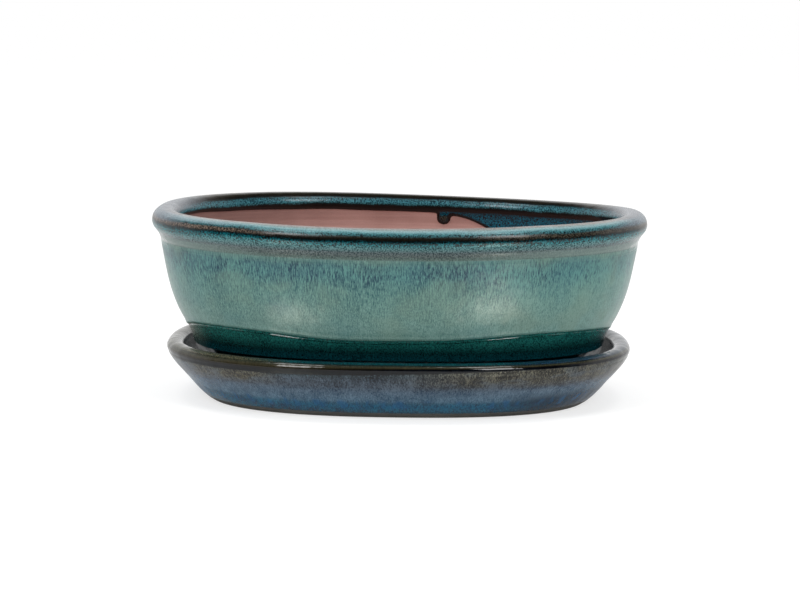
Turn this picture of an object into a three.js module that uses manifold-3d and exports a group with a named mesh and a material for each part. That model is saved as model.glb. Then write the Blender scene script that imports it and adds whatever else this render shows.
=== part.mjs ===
import * as THREE from 'three';
import { mergeVertices } from 'three/addons/utils/BufferGeometryUtils.js';
import Module from 'manifold-3d';

// Oval bonsai pot standing on its drip saucer. Millimetres, +Z up, +X along the oval.
// The origin is the middle of the saucer's underside, on the surface it stands on.

// The pot seen from above, over the widest line of its lip
const potLength = 250;
const potWidth = 196;
// 2 would make a true ellipse, more makes the corners fuller
const ovalFullness = 2.45;

// Pot wall from the underside up. Every inset is measured inwards from the widest line.
const potHeight = 68.2;
const wallThickness = 8;
const potFloorThickness = 9;
const baseInset = 20;
const baseEdgeRadius = 1.6;
const baseBandHeight = 7.3;
const baseBandFlare = 1.7;
const shoulderReach = 9.6;
const shoulderRise = 18.8;
const upperWallDraft = 3.7;
const upperWallDrop = 22;

// Rolled lip, and the neck where its sloping underside meets the wall
const lipWidth = 13.6;
const lipCrestInset = 6.5;
const lipCrestRise = 6.9;
const lipRollDrop = 3.2;
const lipRollTuck = 1.1;
const lipUnderDrop = 4.1;
const lipInnerDepth = 9.5;
const neckInset = 4.2;
const neckBend = 1.3;

// Pot floor, its inner corner and its holes
const floorCornerRadius = 9;
const drainHoleDiameter = 18;
const drainHoleSpacing = 104;
const wireHoleDiameter = 5;
const wireHoleSpacingAlong = 56;
const wireHoleSpacingAcross = 62;

// Bracket feet under the pot
const footHeight = 15.2;
const footSetback = 2.4;
const footThickness = 13;
const footSoleThickness = 9;
const footSeatClearance = 1.2;
const footEdgeBevel = 1.2;
const footTurn = THREE.MathUtils.degToRad(45);
const footHalfSpan = THREE.MathUtils.degToRad(14);
const footSoleShare = 0.56;
const footTipLift = 11;
// How the ogee from the sole to the tip turns: width of the cove, width and dip of the lobe
const footCove = 0.12;
const footLobe = 0.45;
const footLobeDip = 0.55;

// Saucer, standing in from the pot's widest line by the same amount all round
const saucerSetback = 7;
const saucerLipHeight = 29.8;
const saucerLipCrestInset = 4.5;
const saucerLipRise = 3.8;
const saucerLipWidth = 9.4;
const saucerLipInnerDrop = 4.2;
const saucerFloorHeight = 13;
const saucerFloorCorner = 3.5;
const saucerWallThickness = 9.6;
const saucerBaseInset = 22.4;
const saucerEdgeRise = 2.6;
const saucerEdgeReach = 4.2;
const flankTopInset = 8.9;
const flankTopHeight = 13.4;
const footRingWidth = 8;
const recessDepth = 3.6;
const recessSlope = 3;

// Facets round the oval and along curves
const roundSteps = 72;
const holeSteps = 24;
const lipSteps = 6;
const wallSteps = 7;
const bendSteps = 3;
const soleSteps = 6;
const ogeeSteps = 5;

// Levels and lines that the pieces share
const saucerLength = potLength - 2 * saucerSetback;
const saucerWidth = potWidth - 2 * saucerSetback;
const saucerFloorInset = flankTopInset + saucerWallThickness + saucerFloorCorner;
const footTopInset = baseInset + baseEdgeRadius + footSetback;
const footSoleInset = saucerSetback + saucerFloorInset + footSeatClearance;
const footSoleLevel = saucerFloorHeight;
const potUnderside = footSoleLevel + footHeight;
const potFloorLevel = potUnderside + potFloorThickness;
const lipCrestLevel = potUnderside + potHeight;

const wasm = await Module();
wasm.setup();

// A point on the oval whose half-axes are given, at a turn round it
function onOval(halfLength, halfWidth, turn) {
  const across = Math.abs(Math.cos(turn)) ** ovalFullness;
  const along = Math.abs(Math.sin(turn)) ** ovalFullness;
  const swell = (across + along) ** (-1 / ovalFullness);
  return [halfLength * Math.cos(turn) * swell, halfWidth * Math.sin(turn) * swell];
}

// Points along a run of curves, each with its own number of steps
function trace(strokes) {
  const points = [strokes[0][0].getPoint(0)];
  for (const [curve, steps] of strokes) {
    for (let i = 1; i <= steps; i++) points.push(curve.getPoint(i / steps));
  }
  return points;
}

function line(from, to) {
  return [new THREE.LineCurve(from, to), 1];
}

function bend(from, corner, to, steps = bendSteps) {
  return [new THREE.QuadraticBezierCurve(from, corner, to), steps];
}

function sweep(from, handleA, handleB, to) {
  return [new THREE.CubicBezierCurve(from, handleA, handleB, to), wallSteps];
}

// A quarter of an ellipse that turns from one end's direction to the other's
function quarter(centre, radiusIn, radiusUp, startAngle) {
  const endAngle = startAngle + Math.PI / 2;
  return [
    new THREE.EllipseCurve(centre.x, centre.y, radiusIn, radiusUp, startAngle, endAngle),
    lipSteps,
  ];
}

// A profile turned like a bowl, then stretched from a round into the oval
function turnOval(profile, length, width) {
  const geometry = new THREE.LatheGeometry(profile, roundSteps);
  const position = geometry.attributes.position;
  const stretch = (length - width) / 2;
  for (let i = 0; i < position.count; i++) {
    const point = profile[i % profile.length];
    const step = Math.floor(i / profile.length) % roundSteps;
    const turn = (step / roundSteps) * 2 * Math.PI;
    const [x, y] = onOval(point.x + stretch, point.x, turn);
    position.setXYZ(i, x, y, point.y);
  }
  return closed(geometry);
}

// Keeps only the corner positions and joins the ones that coincide
function closed(geometry) {
  geometry.deleteAttribute('normal');
  geometry.deleteAttribute('uv');
  return mergeVertices(geometry);
}

function toSolid(geometry) {
  return new wasm.Manifold(new wasm.Mesh({
    numProp: 3,
    vertProperties: new Float32Array(geometry.attributes.position.array),
    triVerts: new Uint32Array(geometry.index.array),
  }));
}

function toGeometry(solid) {
  const mesh = solid.getMesh();
  const geometry = new THREE.BufferGeometry();
  geometry.setAttribute('position', new THREE.BufferAttribute(mesh.vertProperties, 3));
  geometry.setIndex(new THREE.BufferAttribute(mesh.triVerts, 1));
  return geometry;
}

// The pot's profile: out along the underside, up the wall, over the lip, down the inside
function potProfile() {
  const half = potWidth / 2;
  const at = (inset, level) => new THREE.Vector2(half - inset, level);
  const lipWidest = lipCrestLevel - lipCrestRise;
  const rollEnd = at(lipRollTuck, lipWidest - lipRollDrop);
  const neck = at(neckInset, rollEnd.y - lipUnderDrop);
  const underLip = neck.clone().lerp(rollEnd, neckBend / neck.distanceTo(rollEnd));
  const wallTop = at(neckInset, neck.y - neckBend);
  const bandTop = at(baseInset - baseBandFlare, potUnderside + baseBandHeight);
  const baseEdge = at(baseInset, potUnderside);
  const baseStart = at(baseInset + baseEdgeRadius, potUnderside);
  const baseEnd = at(baseInset, potUnderside + baseEdgeRadius);
  const lowHandle = new THREE.Vector2(bandTop.x + shoulderReach, bandTop.y + shoulderRise);
  const highHandle = new THREE.Vector2(wallTop.x - upperWallDraft, wallTop.y - upperWallDrop);

  const innerFace = at(lipWidth, lipWidest);
  const innerLipFoot = at(lipWidth, lipCrestLevel - lipInnerDepth);
  const shift = new THREE.Vector2(-wallThickness, 0);
  const innerTop = wallTop.clone().add(shift);
  const innerLipTuck = at(lipWidth, (innerLipFoot.y + innerTop.y) / 2);
  const innerLow = bandTop.clone().add(shift);
  const innerLowHandle = lowHandle.clone().add(shift);
  const innerHighHandle = highHandle.clone().add(shift);
  const cornerTop = new THREE.Vector2(innerLow.x, potFloorLevel + floorCornerRadius / 2);
  const floorCorner = new THREE.Vector2(innerLow.x - floorCornerRadius / 2, potFloorLevel);
  const floorEdge = new THREE.Vector2(floorCorner.x - floorCornerRadius, potFloorLevel);

  return trace([
    line(new THREE.Vector2(0, potUnderside), baseStart),
    bend(baseStart, baseEdge, baseEnd),
    line(baseEnd, bandTop),
    sweep(bandTop, lowHandle, highHandle, wallTop),
    bend(wallTop, neck, underLip),
    line(underLip, rollEnd),
    bend(rollEnd, at(0, lipWidest - lipRollDrop / 2), at(0, lipWidest)),
    quarter(at(lipCrestInset, lipWidest), lipCrestInset, lipCrestRise, 0),
    quarter(at(lipCrestInset, lipWidest), lipWidth - lipCrestInset, lipCrestRise, Math.PI / 2),
    line(innerFace, innerLipFoot),
    bend(innerLipFoot, innerLipTuck, innerTop),
    sweep(innerTop, innerHighHandle, innerLowHandle, cornerTop),
    bend(cornerTop, floorCorner, floorEdge),
    line(floorEdge, new THREE.Vector2(0, potFloorLevel)),
  ]);
}

// A straight cutter through the pot's floor
function floorHole(diameter, x, y) {
  const height = potFloorThickness * 3;
  const geometry = new THREE.CylinderGeometry(diameter / 2, diameter / 2, height, holeSteps);
  geometry.rotateX(Math.PI / 2);
  geometry.translate(x, y, potUnderside + potFloorThickness / 2);
  return toSolid(closed(geometry));
}

function potShell() {
  let pot = toSolid(turnOval(potProfile(), potLength, potWidth));
  for (const side of [-1, 1]) {
    pot = pot.subtract(floorHole(drainHoleDiameter, (side * drainHoleSpacing) / 2, 0));
    for (const end of [-1, 1]) {
      const x = (end * wireHoleSpacingAlong) / 2;
      const y = (side * wireHoleSpacingAcross) / 2;
      pot = pot.subtract(floorHole(wireHoleDiameter, x, y));
    }
  }
  return toGeometry(pot);
}

// The bracket foot's lower edge from tip to tip: share along the foot, lift off the sole
function footEdge() {
  const soleEnd = new THREE.Vector2(footSoleShare, 0);
  const tip = new THREE.Vector2(1, footTipLift);
  const tipShare = 1 - footSoleShare;
  const coveHandle = new THREE.Vector2(footSoleShare + footCove * tipShare, footTipLift);
  const lobeHandle = new THREE.Vector2(1 - footLobe * tipShare, footLobeDip * footTipLift);
  const ogee = trace([
    [new THREE.CubicBezierCurve(soleEnd, coveHandle, lobeHandle, tip), ogeeSteps],
  ]);
  const left = [...ogee].reverse().map((point) => new THREE.Vector2(-point.x, point.y));
  const sole = [];
  for (let i = 1; i < soleSteps; i++) {
    sole.push(new THREE.Vector2(footSoleShare * ((2 * i) / soleSteps - 1), 0));
  }
  return [...left, ...sole, ...ogee];
}

// One station of a foot: the loop of points round its cross-section, outer top first
function footSection(turn, lift) {
  const low = footSoleLevel + lift;
  const place = (inset, level) => {
    const [x, y] = onOval(potLength / 2 - inset, potWidth / 2 - inset, turn);
    return new THREE.Vector3(x, y, level);
  };
  const down = (level) => (potUnderside - level) / footHeight;
  const outer = (level) => THREE.MathUtils.lerp(footTopInset, footSoleInset, down(level));
  const inner = (level) => outer(level)
    + THREE.MathUtils.lerp(footThickness, footSoleThickness, down(level));
  return [
    place(outer(potUnderside), potUnderside),
    place(outer(low + footEdgeBevel), low + footEdgeBevel),
    place(outer(low) + footEdgeBevel, low),
    place(inner(low) - footEdgeBevel, low),
    place(inner(low + footEdgeBevel), low + footEdgeBevel),
    place(inner(potUnderside), potUnderside),
  ];
}

// Skins a row of equal loops and closes both ends
function loft(loops) {
  const count = loops[0].length;
  const index = [];
  for (let i = 0; i + 1 < loops.length; i++) {
    for (let j = 0; j < count; j++) {
      const a = i * count + j;
      const b = i * count + ((j + 1) % count);
      index.push(a, b, a + count, b, b + count, a + count);
    }
  }
  const last = (loops.length - 1) * count;
  for (let j = 1; j + 1 < count; j++) {
    index.push(0, j + 1, j);
    index.push(last, last + j, last + j + 1);
  }
  const geometry = new THREE.BufferGeometry().setFromPoints(loops.flat());
  geometry.setIndex(index);
  return geometry;
}

function foot(middleTurn) {
  return loft(footEdge().map((point) => footSection(middleTurn + point.x * footHalfSpan, point.y)));
}

// The saucer's profile: out along the recess, round the foot ring, up the flank, over the
// lip and down to the floor
function saucerProfile() {
  const half = saucerWidth / 2;
  const at = (inset, level) => new THREE.Vector2(half - inset, level);
  const lipWidest = saucerLipHeight - saucerLipRise;
  const recessEdge = at(saucerBaseInset + footRingWidth + recessSlope, recessDepth);
  const ringInner = at(saucerBaseInset + footRingWidth, 0);
  const ringOuter = at(saucerBaseInset, 0);
  const edgeEnd = at(saucerBaseInset - saucerEdgeReach, saucerEdgeRise);
  const edgeCorner = at(saucerBaseInset - saucerEdgeReach / 2, 0);
  const flankTop = at(flankTopInset, flankTopHeight);
  const flankSteepness = (flankTop.y - edgeEnd.y) / (flankTop.x - edgeEnd.x);
  const flankMeetsLip = at(0, flankTop.y + flankTopInset * flankSteepness);
  const lipCentre = at(saucerLipCrestInset, lipWidest);
  const lipInner = at(saucerLipWidth, lipWidest);
  const innerFlankTop = at(saucerLipWidth, lipWidest - saucerLipInnerDrop / 2);
  const floorCorner = at(saucerFloorInset - saucerFloorCorner, saucerFloorHeight);
  const innerFlank = innerFlankTop.distanceTo(floorCorner);
  const cornerStart = floorCorner.clone().lerp(innerFlankTop, saucerFloorCorner / innerFlank);
  const floorEdge = at(saucerFloorInset, saucerFloorHeight);

  return trace([
    line(new THREE.Vector2(0, recessDepth), recessEdge),
    line(recessEdge, ringInner),
    line(ringInner, ringOuter),
    bend(ringOuter, edgeCorner, edgeEnd),
    line(edgeEnd, flankTop),
    bend(flankTop, flankMeetsLip, at(0, lipWidest), lipSteps - 1),
    quarter(lipCentre, saucerLipCrestInset, saucerLipRise, 0),
    quarter(lipCentre, saucerLipWidth - saucerLipCrestInset, saucerLipRise, Math.PI / 2),
    line(lipInner, innerFlankTop),
    line(innerFlankTop, cornerStart),
    bend(cornerStart, floorCorner, floorEdge),
    line(floorEdge, new THREE.Vector2(0, saucerFloorHeight)),
  ]);
}

const celadonGlaze = new THREE.MeshStandardMaterial({ color: 0x7c9c93, roughness: 0.22, metalness: 0 });
const darkGlaze = new THREE.MeshStandardMaterial({ color: 0x0c302d, roughness: 0.15, metalness: 0 });
const slateGlaze = new THREE.MeshStandardMaterial({ color: 0x56656d, roughness: 0.2, metalness: 0 });

function piece(name, geometry, material) {
  geometry.computeVertexNormals();
  const mesh = new THREE.Mesh(geometry, material);
  mesh.name = name;
  return mesh;
}

const pot = new THREE.Group();
pot.name = 'pot';
pot.add(piece('pot_shell', potShell(), celadonGlaze));
const footPlaces = [
  ['pot_foot_rear_right', footTurn],
  ['pot_foot_rear_left', Math.PI - footTurn],
  ['pot_foot_front_left', Math.PI + footTurn],
  ['pot_foot_front_right', 2 * Math.PI - footTurn],
];
for (const [name, middleTurn] of footPlaces) pot.add(piece(name, foot(middleTurn), darkGlaze));

const group = new THREE.Group();
group.name = 'oval_bonsai_pot';
group.add(pot);
group.add(piece('saucer', turnOval(saucerProfile(), saucerLength, saucerWidth), slateGlaze));

export default group;
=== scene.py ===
import math

import bpy
import numpy as np
from mathutils import Matrix, Vector


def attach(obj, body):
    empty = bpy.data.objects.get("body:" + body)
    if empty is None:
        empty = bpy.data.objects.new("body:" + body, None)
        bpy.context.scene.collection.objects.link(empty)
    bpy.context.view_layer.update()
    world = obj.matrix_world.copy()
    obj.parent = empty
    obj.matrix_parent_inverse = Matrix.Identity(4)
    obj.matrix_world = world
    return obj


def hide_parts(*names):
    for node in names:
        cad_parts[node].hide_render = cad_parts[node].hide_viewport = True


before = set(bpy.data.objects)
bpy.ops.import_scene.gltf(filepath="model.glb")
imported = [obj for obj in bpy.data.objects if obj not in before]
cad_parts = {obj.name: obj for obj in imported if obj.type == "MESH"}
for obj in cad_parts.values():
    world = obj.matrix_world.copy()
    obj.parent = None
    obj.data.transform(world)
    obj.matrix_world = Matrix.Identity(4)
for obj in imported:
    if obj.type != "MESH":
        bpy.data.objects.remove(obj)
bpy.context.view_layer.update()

MM = 0.001

# The camera: a long lens, a little above the lip and a hair to the right of the middle,
# tipped by half a degree, so that the pot's right end stands lower.
aim = Vector((0, 0, 45 * MM))
camera_distance = 1228.7 * MM
elevation, azimuth, roll = (math.radians(a) for a in (7.949, 1.064, 0.577))
back = Vector((math.sin(azimuth) * math.cos(elevation),
               -math.cos(azimuth) * math.cos(elevation),
               math.sin(elevation)))
level_right = Vector((math.cos(azimuth), math.sin(azimuth), 0))
level_up = back.cross(level_right)
right = level_right * math.cos(roll) + level_up * math.sin(roll)
upward = level_up * math.cos(roll) - level_right * math.sin(roll)
lens = bpy.data.cameras.new("camera")
lens.lens = 108.15
lens.sensor_width = 36
lens.shift_x = 0.00133
lens.shift_y = 0.0011
lens.clip_end = 100
camera = bpy.data.objects.new("camera", lens)
place = Matrix((right, upward, back)).transposed().to_4x4()
place.translation = aim + back * camera_distance
camera.matrix_world = place
bpy.context.scene.collection.objects.link(camera)
bpy.context.scene.camera = camera
bpy.context.scene.view_settings.view_transform = "Standard"


# The studio: a pale table that runs to the horizon, a lit ceiling, and a dark room behind the
# camera. Two lamps fill in front, two taller ones in about the same places make the glints,
# and two stand high at the sides. Two more, below the table, stand for lamps mirrored in it.
def srgb(red, green, blue):
    """The linear colour of a paint written as 0 to 255."""
    return tuple(c / 12.92 if c <= 0.04045 else ((c + 0.055) / 1.055) ** 2.4
                 for c in (red / 255, green / 255, blue / 255)) + (1,)


def node(tree, kind, sockets=(), **settings):
    """A node with its settings made and its sockets filled, from values or from outputs."""
    made = tree.nodes.new(kind)
    for key, value in settings.items():
        setattr(made, key, value)
    for key, value in dict(sockets).items():
        if isinstance(value, bpy.types.NodeSocket):
            tree.links.new(value, made.inputs[key])
        else:
            made.inputs[key].default_value = value
    return made


def math_node(tree, operation, a, b=0.0, clamp=False):
    """One sum on two masks, heights or numbers."""
    made = node(tree, "ShaderNodeMath", {0: a, 1: b}, operation=operation, use_clamp=clamp)
    return made.outputs[0]


def product(tree, *values):
    """The product of masks, heights and numbers."""
    result = values[0]
    for value in values[1:]:
        result = math_node(tree, "MULTIPLY", result, value)
    return result


def total(tree, *values):
    """The sum of masks, heights and numbers."""
    result = values[0]
    for value in values[1:]:
        result = math_node(tree, "ADD", result, value)
    return result


def between(tree, value, low, high, to_low=0.0, to_high=1.0, smooth=True):
    """Turns a value from low to high into one from to_low to to_high, held at both ends."""
    made = node(tree, "ShaderNodeMapRange",
                {0: value, 1: low, 2: high, 3: to_low, 4: to_high},
                interpolation_type="SMOOTHSTEP" if smooth else "LINEAR")
    return made.outputs[0]


def mixed(tree, share, a, b):
    """Colour a, with colour b over it by share."""
    made = node(tree, "ShaderNodeMix", {0: share, 6: a, 7: b}, data_type="RGBA")
    return made.outputs[2]


bpy.ops.object.select_all(action="DESELECT")
table_gap = 0.2 * MM        # under the saucer, so that the two don't share a plane
bpy.ops.mesh.primitive_plane_add(size=60, location=(0, 0, -table_gap))
table = bpy.context.object
table.name = "studio_table"
paper = bpy.data.materials.new("pale_table")
paper.use_nodes = True
tree = paper.node_tree
tree.nodes.clear()
rays = node(tree, "ShaderNodeLightPath")
matte = node(tree, "ShaderNodeBsdfDiffuse", {"Color": (0.72, 0.72, 0.72, 1)})
seen = node(tree, "ShaderNodeEmission", {"Color": (1, 1, 1, 1), "Strength": 1.34})
white = node(tree, "ShaderNodeMixShader", {0: 0.5, 1: seen.outputs[0], 2: matte.outputs[0]})
straight = math_node(tree, "MAXIMUM", rays.outputs["Is Camera Ray"],
                     rays.outputs["Is Transmission Ray"])
mirrored = rays.outputs["Is Glossy Ray"]
both = node(tree, "ShaderNodeMixShader", {
    0: math_node(tree, "MAXIMUM", straight, product(tree, mirrored, 0.2)),
    1: matte.outputs[0], 2: white.outputs[0]})
# The glaze sees the light end about half a metre in front of the pot
dark_from, lit_to = -0.55, -0.3
in_front = node(tree, "ShaderNodeSeparateXYZ",
                {0: node(tree, "ShaderNodeTexCoord").outputs["Object"]}).outputs[1]
unlit = product(tree, mirrored, between(tree, in_front, dark_from, lit_to, 1.0, 0.0))
dim = node(tree, "ShaderNodeEmission", {"Color": (1, 1, 1, 1), "Strength": 0.03})
both = node(tree, "ShaderNodeMixShader", {0: unlit, 1: both.outputs[0], 2: dim.outputs[0]})
node(tree, "ShaderNodeOutputMaterial", {"Surface": both.outputs[0]})
table.data.materials.append(paper)
table.visible_shadow = False

world = bpy.data.worlds.new("studio_walls")
bpy.context.scene.world = world
world.use_nodes = True
tree = world.node_tree
tree.nodes.clear()
direction = node(tree, "ShaderNodeSeparateXYZ",
                 {0: node(tree, "ShaderNodeTexCoord").outputs["Generated"]})
past_camera = between(tree, direction.outputs["Y"], -0.9, -0.3, 0.06, 1.0)
ceiling = between(tree, direction.outputs["Z"], 0.55, 0.85, 0.0, 1.1)
above_table = math_node(tree, "GREATER_THAN", direction.outputs["Z"], 0.0)
walls = node(tree, "ShaderNodeBackground", {"Color": (1, 1, 1, 1), "Strength": product(
    tree, math_node(tree, "MAXIMUM", past_camera, ceiling), above_table)})
# The glaze mirrors the white backdrop at the back and sides, under a dark ceiling
backdrop = product(tree, between(tree, direction.outputs["Y"], -0.35, 0.15),
                   between(tree, direction.outputs["Z"], 0.45, 0.75, 1.0, 0.03))
mirrored = node(tree, "ShaderNodeBackground", {"Color": (1, 1, 1, 1), "Strength": backdrop})
plain = node(tree, "ShaderNodeBackground", {"Color": (0.965, 0.965, 0.965, 1), "Strength": 1.0})
rays = node(tree, "ShaderNodeLightPath")
walls = node(tree, "ShaderNodeMixShader", {
    0: rays.outputs["Is Glossy Ray"], 1: walls.outputs[0], 2: mirrored.outputs[0]})
chosen = node(tree, "ShaderNodeMixShader", {
    0: math_node(tree, "MAXIMUM", rays.outputs["Is Camera Ray"],
                 rays.outputs["Is Transmission Ray"]),
    1: walls.outputs[0], 2: plain.outputs[0]})
node(tree, "ShaderNodeOutputWorld", {"Surface": chosen.outputs[0]})


lamp_distance = 1.3        # metres, from the middle of the pot


def soft_lamp(name, turn, height_angle, size, power):
    """A square lamp that faces the pot, at a turn from the front and an angle of height."""
    lamp = bpy.data.lights.new(name, "AREA")
    lamp.size = size
    lamp.energy = power
    lamp_object = bpy.data.objects.new(name, lamp)
    turn, height_angle = math.radians(turn), math.radians(height_angle)
    towards = Vector((math.sin(turn) * math.cos(height_angle),
                      -math.cos(turn) * math.cos(height_angle),
                      math.sin(height_angle)))
    lamp_object.location = aim + towards * lamp_distance
    lamp_object.rotation_euler = towards.to_track_quat("Z", "Y").to_euler()
    lamp_object.visible_camera = False
    bpy.context.scene.collection.objects.link(lamp_object)
    return lamp_object


soft_lamp("fill_left", -34.3, 38.7, 0.34, 5.0).visible_glossy = False
soft_lamp("fill_right", 32.9, 34.7, 0.34, 5.0).visible_glossy = False
soft_lamp("high_left", -62, 67, 0.3, 2.4)
soft_lamp("high_right", 48, 70, 0.3, 2.4)
for name, turn, height_angle in (("glint_left", -34.3, 39), ("glint_right", 32.9, 37)):
    glint = soft_lamp(name, turn, height_angle, 0.3, 5.0)
    glint.data.shape = "RECTANGLE"
    glint.data.size_y = 0.5
    glint.visible_diffuse = False
for name, turn, height_angle, power in (("image_left", -39, -42, 2.8),
                                        ("image_right", 31, -36, 5.2)):
    image = soft_lamp(name, turn, height_angle, 0.22, power)
    image.visible_diffuse = False
    image.data.color = (1, 1, 0.82)


# The pot's body: one stoneware body, pressed oval, with a rolled lip and holes through its
# floor. It is dipped in a dark glaze, then to near its foot in a celadon that runs down.
pot_half_length = 125
pot_half_width = 98
oval_fullness = 2.45
around_pot = 96


def drawn_through(points):
    """Rows along a smooth line through the points given: each of them, and one midway on."""
    points = np.array(points, float)
    stretch = np.diff(points, axis=0)
    length = np.linalg.norm(stretch, axis=1, keepdims=True)
    way = stretch / length
    turning = (way[:-1] * length[1:] + way[1:] * length[:-1]) / (length[:-1] + length[1:])
    way = np.vstack([way[:1], turning, way[-1:]])
    rows = np.empty((2 * len(points) - 1, 2))
    rows[::2] = points
    rows[1::2] = (points[:-1] + points[1:]) / 2 + length * (way[:-1] - way[1:]) / 8
    return rows.tolist()


def rolled_lip(middle, reach, fullness, steps):
    """Rows over a rolled lip, from its outermost line over the crest to its innermost."""
    rows = []
    for turn in (math.pi * k / steps for k in range(steps + 1)):
        inward = -math.copysign(abs(math.cos(turn)) ** (2 / fullness), math.cos(turn))
        upward = math.sin(turn) ** (2 / fullness) if 0 < turn < math.pi else 0
        rows.append((middle[0] + reach[0] * inward, middle[1] + reach[1] * upward))
    return rows


# The profile, in rows that say how far in from the widest line and at what level: the
# underside, the flaring wall up to its neck, the lip, and the inside down to the floor
pot_underside = 28.2
pot_floor_level = 37.2
pot_base = [(46, pot_underside), (26, pot_underside)]
pot_wall = drawn_through([
    (22.6, pot_underside), (20.5, 28.8), (20.1, 30), (18.5, 35), (16.15, 40), (13.95, 44),
    (11.3, 50), (8.7, 58), (6.3, 69), (4.6, 78.5), (4.2, 81), (2.7, 84.2), (0.5, 87.2), (0, 89.2)])
pot_lip = rolled_lip((6.8, 89.2), (6.8, 6.2), 2.2, 8)
pot_inside = drawn_through([
    (13.6, 89.2), (12.9, 85), (12.4, 79), (14.1, 69.5), (16.9, 58), (22, 46.3), (28.6, 39.2),
    (38.5, pot_floor_level)])
pot_rows = pot_base + pot_wall[:-1] + pot_lip + pot_inside[1:] + [(46, pot_floor_level)]
pot_foot_line = len(pot_base)
pot_crest = pot_foot_line + len(pot_wall) - 1 + len(pot_lip) // 2


def swell(turn):
    """How far the oval's outline stands out from an ellipse at a turn round it."""
    n = oval_fullness
    return (np.abs(np.cos(turn)) ** n + np.abs(np.sin(turn)) ** n) ** (-1 / n)


def cage(rows):
    """Rows for the net of a subdivided skin that is to pass through the rows given."""
    target = np.array(rows, float)
    net = target.copy()
    for _ in range(30):
        net[1:-1] += target[1:-1] - (net[:-2] + 4 * net[1:-1] + net[2:]) / 6
    return net


def oval_body(name, rows, half_length, half_width, around, outline):
    """A closed body drawn up ring by ring from a circle, each ring in by a row's inset."""
    bpy.ops.object.select_all(action="DESELECT")
    bpy.ops.mesh.primitive_circle_add(vertices=around, radius=1)
    body = bpy.context.object
    body.name = name
    inset, level = rows[0]
    for vertex in body.data.vertices:
        turn = math.atan2(vertex.co.y, vertex.co.x)
        reach = outline(turn)
        vertex.co = ((half_length - inset) * math.cos(turn) * reach * MM,
                     (half_width - inset) * math.sin(turn) * reach * MM, level * MM)
    bpy.ops.object.mode_set(mode="EDIT")
    bpy.ops.mesh.select_mode(type="EDGE")
    bpy.ops.mesh.select_all(action="SELECT")
    for (inset, level), (next_inset, next_level) in zip(rows, rows[1:]):
        rise = (0, 0, (next_level - level) * MM)
        bpy.ops.mesh.extrude_edges_move(TRANSFORM_OT_translate={"value": rise})
        bpy.ops.transform.resize(
            value=((half_length - next_inset) / (half_length - inset),
                   (half_width - next_inset) / (half_width - inset), 1),
            center_override=(0, 0, next_level * MM))
    bpy.ops.mesh.fill_grid(span=around // 4)
    bpy.ops.mesh.select_all(action="DESELECT")
    bpy.ops.mesh.select_non_manifold()
    bpy.ops.mesh.fill_grid(span=around // 4)
    bpy.ops.mesh.select_all(action="SELECT")
    bpy.ops.mesh.normals_make_consistent(inside=False)
    bpy.ops.object.mode_set(mode="OBJECT")
    return body


def finish_with(body, kind, **settings):
    """Adds a modifier to a body and applies it."""
    bpy.ops.object.select_all(action="DESELECT")
    body.select_set(True)
    bpy.context.view_layer.objects.active = body
    modifier = body.modifiers.new(kind.lower(), kind)
    for key, value in settings.items():
        setattr(modifier, key, value)
    bpy.ops.object.modifier_apply(modifier=modifier.name)


def points_of(body):
    """The body's points in millimetres."""
    points = np.empty(len(body.data.vertices) * 3)
    body.data.vertices.foreach_get("co", points)
    return points.reshape(-1, 3) / MM


def unwind(points, rows, half_length, half_width):
    """For each point: its turn round the oval, its run along the profile of rows, and where
    the steepest way up the wall from it meets the oval's outline. Last, each row's run."""
    low = np.full(len(points), -3.0)
    high = np.full(len(points), half_width - 0.01)
    for _ in range(40):
        inset = (low + high) / 2
        outside = (np.abs(points[:, 0] / (half_length - inset)) ** oval_fullness
                   + np.abs(points[:, 1] / (half_width - inset)) ** oval_fullness) > 1
        high = np.where(outside, inset, high)
        low = np.where(outside, low, inset)
    ends = np.stack([half_length - inset, half_width - inset], 1)
    share = points[:, :2] / ends
    turn = np.arctan2(share[:, 1], share[:, 0])
    uphill = np.sign(share) * np.abs(share) ** (oval_fullness - 1) / ends
    uphill /= np.linalg.norm(uphill, axis=1, keepdims=True)
    outline = points[:, :2] + inset[:, None] * uphill
    here = np.stack([inset, points[:, 2]], 1)
    rows = np.array(rows, float)
    step = np.diff(rows, axis=0)
    length = np.linalg.norm(step, axis=1)
    start = np.concatenate([[0], np.cumsum(length)])
    run = np.zeros(len(points))
    nearest = np.full(len(points), np.inf)
    for i in range(len(step)):
        part = np.clip(((here - rows[i]) @ step[i]) / length[i] ** 2, 0, 1)
        away = np.linalg.norm(here - rows[i] - part[:, None] * step[i], axis=1)
        closer = away < nearest
        nearest = np.where(closer, away, nearest)
        run = np.where(closer, start[i] + part * length[i], run)
    return turn, run, outline, start


def ease(value, low, high):
    """0 up to low, 1 from high on, and a smooth rise between."""
    share = np.clip((value - low) / (high - low), 0, 1)
    return share * share * (3 - 2 * share)


def store(body, name, values):
    """Keeps a number or a vector for each point, for the glaze to read."""
    kind = "FLOAT_VECTOR" if values.ndim == 2 else "FLOAT"
    attribute = body.data.attributes.new(name, kind, "POINT")
    attribute.data.foreach_set("vector" if values.ndim == 2 else "value",
                               values.astype(np.float32).ravel())


pot = oval_body("glazed_pot", cage(pot_rows), pot_half_length, pot_half_width, around_pot, swell)
finish_with(pot, "SUBSURF", levels=2, render_levels=2)

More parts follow.
